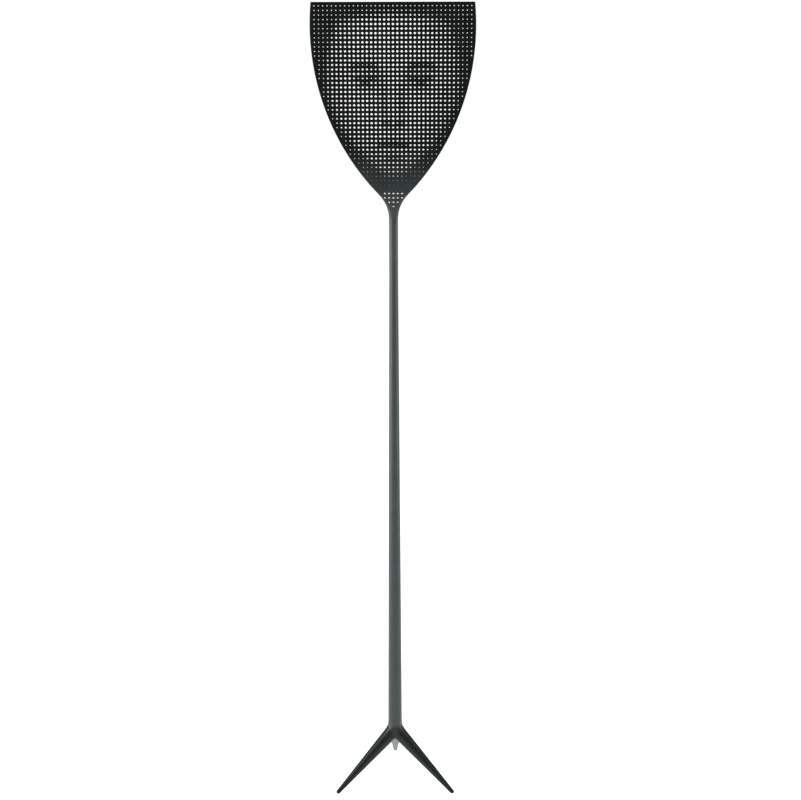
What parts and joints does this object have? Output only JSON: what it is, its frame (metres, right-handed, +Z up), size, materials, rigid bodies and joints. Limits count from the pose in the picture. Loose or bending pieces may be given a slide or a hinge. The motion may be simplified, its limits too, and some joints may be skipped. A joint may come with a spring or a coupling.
{
  "type": "fly swatter",
  "caption": "Slender fly swatter with a shield-shaped perforated blade on a long tapered stem that stands on a small splayed tripod foot.",
  "frame": {"origin": "on the floor, on the stem's axis, in the plane of the three toe flats", "axes": "+Z up along the stem; the blade lies in the XZ plane with its front towards -Y; one leg points along +Y"},
  "size_m": [0.0864, 0.0582, 0.44],
  "materials": {
    "blade_plastic": "fine satin moulded thermoplastic, dark slate",
    "stem_plastic": "satin moulded thermoplastic, dark slate",
    "leg_plastic": "satin moulded thermoplastic, dark slate"
  },
  "bodies": {
    "handle": {"shaft": "stem_plastic", "foot_hub": "stem_plastic", "leg_left": "leg_plastic", "leg_right": "leg_plastic", "leg_back": "leg_plastic", "neck": "stem_plastic"},
    "blade": {"blade": "blade_plastic"}
  },
  "joints": [
    {"name": "blade_flex", "type": "hinge", "parent": "handle", "child": "blade", "pos_m": [0, 0, 0.311], "axis": [1, 0, 0], "range_deg": [-25, 25], "stiffness_Nm_per_rad": 0.27, "deforming": ["neck"]}
  ]
}
